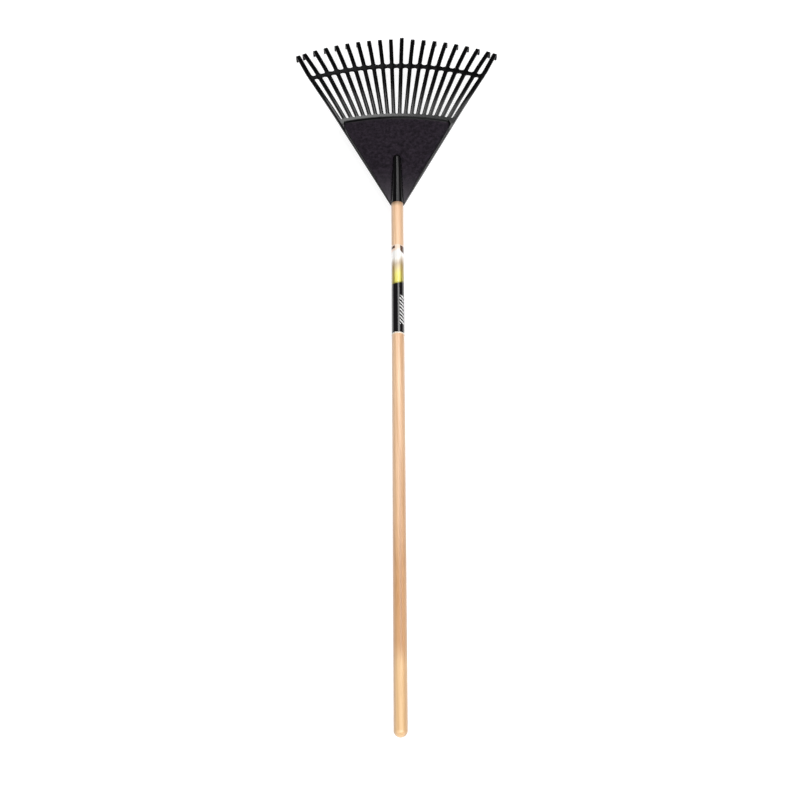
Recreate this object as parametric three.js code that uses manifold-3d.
// A leaf rake: a round wooden handle pushed into the socket of a moulded fan head with hooked tines.
// Millimetres. The rake lies on the floor on its tine tips and the butt of its handle: +Y runs from the
// butt to the tips, +Z is up, and the rake is symmetric about the plane x = 0.
//
// The head is laid out as a flat pattern: x across, y along the handle's axis from the socket's mouth,
// z out of the palm's top face. The comb of tines folds down from the palm about a line across the fan,
// and each tine's free end folds down from the comb about a line across that tine.

import * as THREE from 'three';
import { mergeVertices } from 'three/addons/utils/BufferGeometryUtils.js';
import Module from 'manifold-3d';

// Handle
const HANDLE_RADIUS = 12.7;
const EXPOSED_LENGTH = 1119;
const TAPER_LENGTH = 106;
const TAPER_END_RADIUS = 6.6;
const DOME_STEPS = 8;
const ROUND_SEGMENTS = 48;

// Printed sleeve round the handle
const LABEL_TOP = -109;
const LABEL_LENGTH = 208;
const LABEL_GAP = 0.2;
const LABEL_THICKNESS = 0.35;

// Socket
const FIT_GAP = 0.3;
const MOUTH_Y = -4;
const MOUTH_RADIUS = 14.1;
const SOCKET_END_Y = 112;
const SOCKET_END_RADIUS = 8.8;
const NOSE_LENGTH = 10;
const NOSE_STEPS = 4;

// Screw from below, through the socket into the handle
const SCREW_Y = 28;
const SCREW_TOP_Z = 3;
const SHANK_RADIUS = 2.1;
const SHANK_POINT = 5;
const SCREW_HEAD_RADIUS = 4;
const SCREW_HEAD_HEIGHT = 2.6;
const SCREW_CROWN_RADIUS = 2.8;
const SEAT_RADIUS = 5.6;
const SEAT_Z = -14.8;

// Fan: tine axes meet at an apex behind the mouth, and its cross features are arcs of one radius
const TINE_COUNT = 20;
const TINE_PITCH = THREE.MathUtils.degToRad(2.985);
const EDGE_PITCH = THREE.MathUtils.degToRad(2.6);
const EDGE_TOE = THREE.MathUtils.degToRad(6);
const APEX_Y = -22;
const ARC_RADIUS = 540;
const TINE_WIDTH = 9;
const EDGE_TINE_WIDTH = 9.6;
const PALM_MOUTH_HALF = 15;
const PALM_CORNER_CROWN = 212;
const PLATE_THICKNESS = 4.2;
const RIDGE_LOW_CROWN = 217;
const RIDGE_HIGH_CROWN = 225;
const GAP_FLOOR_CROWN = 228;
const BAR_LOW_CROWN = 364;
const BAR_HIGH_CROWN = 372;
const BAR_THICKNESS = 5.2;
const STUB_LENGTH = 8;
const GAP_CORNER_SHARE = 0.4;
const ARC_STEPS = 20;

// Raised rim and ridge round the palm's panel
const RIM_WIDTH = 5;
const RIM_HEIGHT = 1.2;
const RIDGE_HEIGHT = 2.4;

// Where the moulding flexes
const COMB_Y = 247;
const COMB_SLOPE = THREE.MathUtils.degToRad(4);
const FLEX_GAP = 1;

// Hooked free ends of the tines
const TIP_CROWN = 460;
const LONG_TINE = 10;
const LONG_TINE_EXTRA = 5;
const TIP_DROP = 38;
const END_SLOPE = THREE.MathUtils.degToRad(7);
const HOOK_ANGLE = THREE.MathUtils.degToRad(96);
const HOOK_INNER_RADIUS = 4;
const HOOK_STEPS = 6;
const HOOK_SPARE = 60;

// Sizes of cutting shapes that only have to reach past the part
const THROUGH = 20;
const BEYOND = 5;
const FAN_SPAN = 600;
const FLOOR_SPAN = 4000;
const FLOOR_DEPTH = 400;

const wasm = await Module();
wasm.setup();

const PLASTIC = { color: 0x1c1b1f, roughness: 0.6, metalness: 0 };
const WOOD = { color: 0xe3bd8a, roughness: 0.45, metalness: 0 };
const PRINT = { color: 0x16161a, roughness: 0.25, metalness: 0 };
const ZINC = { color: 0xb9bcc0, roughness: 0.35, metalness: 1 };

function toSolid(geometry) {
  const bare = geometry.index ? geometry.toNonIndexed() : geometry.clone();
  bare.deleteAttribute('normal');
  bare.deleteAttribute('uv');
  const merged = mergeVertices(bare, 1e-4);
  return new wasm.Manifold(new wasm.Mesh({
    numProp: 3,
    vertProperties: new Float32Array(merged.attributes.position.array),
    triVerts: new Uint32Array(merged.index.array),
  }));
}

function toGeometry(solid) {
  const mesh = solid.getMesh();
  const geometry = new THREE.BufferGeometry();
  geometry.setAttribute('position', new THREE.BufferAttribute(mesh.vertProperties, 3));
  geometry.setIndex(new THREE.BufferAttribute(mesh.triVerts, 1));
  geometry.computeVertexNormals();
  return geometry;
}

function named(name, geometry, look) {
  const mesh = new THREE.Mesh(geometry, new THREE.MeshStandardMaterial(look));
  mesh.name = name;
  return mesh;
}

// A flat outline, thickened between two heights
function slab(shape, low, high) {
  const depth = high - low;
  const geometry = new THREE.ExtrudeGeometry(shape, { depth, bevelEnabled: false, curveSegments: 4 });
  return toSolid(geometry.translate(0, 0, low));
}

// A round solid about the handle's axis from [radius, y] pairs
function turned(profile) {
  const points = profile.map(([radius, y]) => new THREE.Vector2(radius, y));
  return toSolid(new THREE.LatheGeometry(points, ROUND_SEGMENTS));
}

// A round solid about the screw's vertical axis from [radius, z] pairs
function turnedUpright(profile) {
  const points = profile.map(([radius, z]) => new THREE.Vector2(radius, z));
  const geometry = new THREE.LatheGeometry(points, ROUND_SEGMENTS / 2);
  return toSolid(geometry.rotateX(Math.PI / 2).translate(0, SCREW_Y, 0));
}

function tineAngle(index) {
  const fromMiddle = index - (TINE_COUNT - 1) / 2;
  const innerSpan = (TINE_COUNT - 3) / 2;
  const past = Math.abs(fromMiddle) - innerSpan;
  const angle = Math.min(Math.abs(fromMiddle), innerSpan) * TINE_PITCH + Math.max(past, 0) * EDGE_PITCH;
  return Math.sign(fromMiddle) * angle;
}

function isEdge(index) {
  return index === 0 || index === TINE_COUNT - 1;
}

function tineWidth(index) {
  return isEdge(index) ? EDGE_TINE_WIDTH : TINE_WIDTH;
}

// Height of a cross arc over x, given its height at the middle
function arcY(crown, x) {
  return crown - ARC_RADIUS + Math.sqrt(ARC_RADIUS ** 2 - x ** 2);
}

// Where a line beside a tine's axis meets a cross arc; offset is to the tine's right
function onArc(index, offset, crown) {
  const angle = tineAngle(index);
  const along = new THREE.Vector2(Math.sin(angle), Math.cos(angle));
  const start = new THREE.Vector2(offset * Math.cos(angle), APEX_Y - offset * Math.sin(angle));
  const fromCentre = start.clone().sub(new THREE.Vector2(0, crown - ARC_RADIUS));
  const half = fromCentre.dot(along);
  const reach = -half + Math.sqrt(half ** 2 - fromCentre.lengthSq() + ARC_RADIUS ** 2);
  return start.addScaledVector(along, reach);
}

// Outer side of the fan: the outer edge of the last tine on each side
function sidePoint(side, crown, inset = 0) {
  const index = side < 0 ? 0 : TINE_COUNT - 1;
  return onArc(index, side * (EDGE_TINE_WIDTH / 2 - inset), crown);
}

// The fan between two cross arcs
function fanBand(lowCrown, highCrown) {
  const band = [];
  for (const crown of [lowCrown, highCrown]) {
    const left = sidePoint(-1, crown);
    const right = sidePoint(1, crown);
    const run = [];
    for (let step = 0; step <= ARC_STEPS; step += 1) {
      const x = THREE.MathUtils.lerp(left.x, right.x, step / ARC_STEPS);
      run.push(new THREE.Vector2(x, arcY(crown, x)));
    }
    band.push(...(band.length ? run.reverse() : run));
  }
  return new THREE.Shape(band);
}

// The palm from the mouth to a cross arc: a triangle that runs on into the outer edges of the last tines
function palmOutline(highCrown, inset = 0) {
  const left = sidePoint(-1, highCrown, inset);
  const right = sidePoint(1, highCrown, inset);
  const outline = [
    sidePoint(-1, PALM_CORNER_CROWN, inset),
    new THREE.Vector2(inset - PALM_MOUTH_HALF, MOUTH_Y),
    new THREE.Vector2(PALM_MOUTH_HALF - inset, MOUTH_Y),
    sidePoint(1, PALM_CORNER_CROWN, inset),
  ];
  for (let step = ARC_STEPS; step >= 0; step -= 1) {
    const x = THREE.MathUtils.lerp(left.x, right.x, step / ARC_STEPS);
    outline.push(new THREE.Vector2(x, arcY(highCrown, x)));
  }
  return new THREE.Shape(outline);
}

// The gap between a tine and the next, with rounded corners at both ends
function gapOutline(index, lowCrown, highCrown) {
  const near = tineWidth(index) / 2;
  const far = -tineWidth(index + 1) / 2;
  const corners = [
    onArc(index, near, lowCrown),
    onArc(index + 1, far, lowCrown),
    onArc(index + 1, far, highCrown),
    onArc(index, near, highCrown),
  ];
  const shape = new THREE.Shape();
  corners.forEach((corner, k) => {
    const before = corners[(k + 3) % 4];
    const after = corners[(k + 1) % 4];
    const width = k % 2 ? corner.distanceTo(before) : corner.distanceTo(after);
    const reach = width * GAP_CORNER_SHARE;
    const enter = corner.clone().addScaledVector(before.clone().sub(corner).normalize(), reach);
    const leave = corner.clone().addScaledVector(after.clone().sub(corner).normalize(), reach);
    if (k) {
      shape.lineTo(enter.x, enter.y);
    } else {
      shape.moveTo(enter.x, enter.y);
    }
    shape.quadraticCurveTo(corner.x, corner.y, leave.x, leave.y);
  });
  return shape;
}

function cutGaps(solid) {
  let left = solid;
  for (let index = 0; index < TINE_COUNT - 1; index += 1) {
    left = left.subtract(slab(gapOutline(index, GAP_FLOOR_CROWN, BAR_LOW_CROWN), -THROUGH, THROUGH));
  }
  return left;
}

// Everything on one side of a line across the flat pattern
function halfSpace(fromY, toY) {
  const box = new THREE.BoxGeometry(FAN_SPAN, toY - fromY, 2 * THROUGH);
  return toSolid(box.translate(0, (fromY + toY) / 2, 0));
}

function taperRadius(y) {
  const share = (y - MOUTH_Y) / (TAPER_LENGTH - MOUTH_Y);
  return THREE.MathUtils.lerp(HANDLE_RADIUS, TAPER_END_RADIUS, share);
}

function makeHandle() {
  const domeY = HANDLE_RADIUS - EXPOSED_LENGTH;
  const profile = [[0, -EXPOSED_LENGTH]];
  for (let step = 1; step <= DOME_STEPS; step += 1) {
    const turn = (step / DOME_STEPS) * (Math.PI / 2);
    profile.push([HANDLE_RADIUS * Math.sin(turn), domeY - HANDLE_RADIUS * Math.cos(turn)]);
  }
  profile.push([HANDLE_RADIUS, MOUTH_Y], [taperRadius(TAPER_LENGTH), TAPER_LENGTH], [0, TAPER_LENGTH]);
  const bore = turnedUpright([
    [0, -HANDLE_RADIUS - BEYOND],
    [SHANK_RADIUS + FIT_GAP, -HANDLE_RADIUS - BEYOND],
    [SHANK_RADIUS + FIT_GAP, SCREW_TOP_Z + FIT_GAP],
    [0, SCREW_TOP_Z + FIT_GAP],
  ]);
  return named('handle', toGeometry(turned(profile).subtract(bore)), WOOD);
}

function makeLabel() {
  const inner = HANDLE_RADIUS + LABEL_GAP;
  const outer = inner + LABEL_THICKNESS;
  const low = LABEL_TOP - LABEL_LENGTH;
  const ring = turned([[inner, low], [outer, low], [outer, LABEL_TOP], [inner, LABEL_TOP], [inner, low]]);
  return named('handle_label', toGeometry(ring), PRINT);
}

function makeScrew() {
  const seat = SEAT_Z - FIT_GAP;
  const screw = turnedUpright([
    [0, seat - SCREW_HEAD_HEIGHT],
    [SCREW_CROWN_RADIUS, seat - SCREW_HEAD_HEIGHT],
    [SCREW_HEAD_RADIUS, seat - SCREW_HEAD_HEIGHT / 2],
    [SCREW_HEAD_RADIUS, seat],
    [SHANK_RADIUS, seat],
    [SHANK_RADIUS, SCREW_TOP_Z - SHANK_POINT],
    [0, SCREW_TOP_Z],
  ]);
  return named('head_screw', toGeometry(screw), ZINC);
}

function socketSolid() {
  const nose = [];
  for (let step = 1; step <= NOSE_STEPS; step += 1) {
    const turn = (step / NOSE_STEPS) * (Math.PI / 2);
    nose.push([SOCKET_END_RADIUS * Math.cos(turn), SOCKET_END_Y + NOSE_LENGTH * Math.sin(turn)]);
  }
  nose[nose.length - 1][0] = 0;
  return turned([
    [0, MOUTH_Y],
    [MOUTH_RADIUS, MOUTH_Y],
    [SOCKET_END_RADIUS, SOCKET_END_Y],
    ...nose,
  ]);
}

function makePalm() {
  const half = PLATE_THICKNESS / 2;
  const panel = slab(palmOutline(RIDGE_LOW_CROWN, RIM_WIDTH), -THROUGH, THROUGH);
  const raised = slab(palmOutline(RIDGE_HIGH_CROWN), -half, half + RIM_HEIGHT)
    .subtract(panel)
    .add(slab(fanBand(RIDGE_LOW_CROWN, RIDGE_HIGH_CROWN), -half, half + RIDGE_HEIGHT));
  const seatPad = turnedUpright([[0, SEAT_Z], [SEAT_RADIUS, SEAT_Z], [SEAT_RADIUS, 0], [0, 0]]);
  const cavity = turned([
    [0, MOUTH_Y - BEYOND],
    [HANDLE_RADIUS + FIT_GAP, MOUTH_Y - BEYOND],
    [HANDLE_RADIUS + FIT_GAP, MOUTH_Y],
    [TAPER_END_RADIUS + FIT_GAP, TAPER_LENGTH + FIT_GAP],
    [0, TAPER_LENGTH + FIT_GAP],
  ]);
  const screwHole = turnedUpright([
    [0, SEAT_Z - BEYOND],
    [SHANK_RADIUS + FIT_GAP, SEAT_Z - BEYOND],
    [SHANK_RADIUS + FIT_GAP, 0],
    [0, 0],
  ]);
  const plate = cutGaps(slab(palmOutline(BAR_LOW_CROWN), -half, half))
    .intersect(halfSpace(MOUTH_Y, COMB_Y - FLEX_GAP / 2));
  const palm = plate.add(raised).add(socketSolid()).add(seatPad).subtract(cavity).subtract(screwHole);
  return named('head_palm', toGeometry(palm), PLASTIC);
}

// Distance from the apex along a tine to where its free end begins
function endStart(index) {
  const barTop = onArc(index, 0, BAR_HIGH_CROWN);
  return barTop.distanceTo(new THREE.Vector2(0, APEX_Y)) + STUB_LENGTH;
}

function makeComb() {
  const half = PLATE_THICKNESS / 2;
  let comb = cutGaps(slab(fanBand(GAP_FLOOR_CROWN, BAR_HIGH_CROWN), -half, half))
    .intersect(halfSpace(COMB_Y + FLEX_GAP / 2, BAR_HIGH_CROWN + BEYOND))
    .add(slab(fanBand(BAR_LOW_CROWN, BAR_HIGH_CROWN), half - BAR_THICKNESS, half));
  for (let index = 0; index < TINE_COUNT; index += 1) {
    const barMiddle = (BAR_LOW_CROWN + BAR_HIGH_CROWN) / 2;
    const from = onArc(index, 0, barMiddle).distanceTo(new THREE.Vector2(0, APEX_Y));
    const to = endStart(index) - FLEX_GAP / 2;
    const stub = new THREE.BoxGeometry(tineWidth(index), to - from, PLATE_THICKNESS);
    stub.translate(0, (from + to) / 2, 0).rotateZ(-tineAngle(index)).translate(0, APEX_Y, 0);
    comb = comb.add(toSolid(stub));
  }
  const geometry = toGeometry(comb).translate(0, -COMB_Y, 0);
  return named('tine_comb', geometry, PLASTIC);
}

// Side outline of a free end: x is distance along the tine, y is height, and the leg runs past the floor
function hookOutline(reach) {
  const half = PLATE_THICKNESS / 2;
  const outer = HOOK_INNER_RADIUS + PLATE_THICKNESS;
  const turnBy = HOOK_ANGLE - END_SLOPE;
  const along = new THREE.Vector2(Math.cos(END_SLOPE), -Math.sin(END_SLOPE));
  const up = new THREE.Vector2(Math.sin(END_SLOPE), Math.cos(END_SLOPE));
  const legAlong = new THREE.Vector2(Math.cos(HOOK_ANGLE), -Math.sin(HOOK_ANGLE));
  const straight = reach - outer * Math.tan(turnBy / 2);
  const centre = new THREE.Vector2().addScaledVector(along, straight).addScaledVector(up, half - outer);
  const from = Math.PI / 2 - END_SLOPE;
  const arc = (radius) => {
    const points = [];
    for (let step = 0; step <= HOOK_STEPS; step += 1) {
      const turn = from - (turnBy * step) / HOOK_STEPS;
      points.push(new THREE.Vector2(Math.cos(turn), Math.sin(turn)).multiplyScalar(radius).add(centre));
    }
    return points;
  };
  const top = arc(outer);
  const under = arc(HOOK_INNER_RADIUS);
  const topEnd = top[HOOK_STEPS].clone().addScaledVector(legAlong, HOOK_SPARE);
  const underEnd = under[HOOK_STEPS].clone().addScaledVector(legAlong, HOOK_SPARE);
  const start = FLEX_GAP / 2;
  return new THREE.Shape([
    new THREE.Vector2(start, -half),
    ...under,
    underEnd,
    topEnd,
    ...top.reverse(),
    new THREE.Vector2(start, half),
  ]);
}

// One free end in its own frame: +Y along the tine, +Z off the comb's face, cut off level with the floor
function makeTineEnd(index, frame) {
  const width = tineWidth(index);
  const crown = index === LONG_TINE ? TIP_CROWN + LONG_TINE_EXTRA : TIP_CROWN;
  const tip = onArc(index, 0, crown).distanceTo(new THREE.Vector2(0, APEX_Y));
  const outline = hookOutline(tip - endStart(index));
  const blank = new THREE.ExtrudeGeometry(outline, { depth: width, bevelEnabled: false });
  const upright = new THREE.Matrix4().makeBasis(
    new THREE.Vector3(0, 1, 0),
    new THREE.Vector3(0, 0, 1),
    new THREE.Vector3(1, 0, 0),
  );
  blank.applyMatrix4(upright).translate(-width / 2, 0, 0);
  const belowFloor = new THREE.BoxGeometry(FAN_SPAN, FLOOR_SPAN, FLOOR_DEPTH);
  belowFloor.translate(0, 0, -FLOOR_DEPTH / 2);
  belowFloor.applyMatrix4(frame.matrixWorld.clone().invert());
  const geometry = toGeometry(toSolid(blank).subtract(toSolid(belowFloor)));
  return named(`tine_end_${String(index + 1).padStart(2, '0')}`, geometry, PLASTIC);
}

// How far the handle's axis leans up from the floor, for the tips and the butt to touch it together
const domeToTip = EXPOSED_LENGTH - HANDLE_RADIUS + TIP_CROWN;
const lean = Math.acos(HANDLE_RADIUS / Math.hypot(TIP_DROP, domeToTip)) - Math.atan2(domeToTip, TIP_DROP);

const rake = new THREE.Group();
rake.rotation.x = lean;
rake.position.z = HANDLE_RADIUS + (EXPOSED_LENGTH - HANDLE_RADIUS) * Math.sin(lean);
rake.add(makeHandle(), makeLabel(), makeScrew(), makePalm());

const comb = new THREE.Group();
comb.position.y = COMB_Y;
comb.rotation.x = -COMB_SLOPE;
comb.add(makeComb());
rake.add(comb);

for (let index = 0; index < TINE_COUNT; index += 1) {
  const flex = new THREE.Group();
  const angle = tineAngle(index);
  const distance = endStart(index);
  flex.position.set(distance * Math.sin(angle), APEX_Y + distance * Math.cos(angle) - COMB_Y, 0);
  flex.rotation.z = isEdge(index) ? Math.sign(angle) * EDGE_TOE - angle : -angle;
  comb.add(flex);
  rake.updateMatrixWorld(true);
  flex.add(makeTineEnd(index, flex));
}

// Put the middle of the whole rake's length over the origin
rake.updateMatrixWorld(true);
const box = new THREE.Box3().setFromObject(rake, true);
rake.position.y = -(box.min.y + box.max.y) / 2;
rake.updateMatrixWorld(true);

const model = new THREE.Group();
model.add(rake);

export default model;
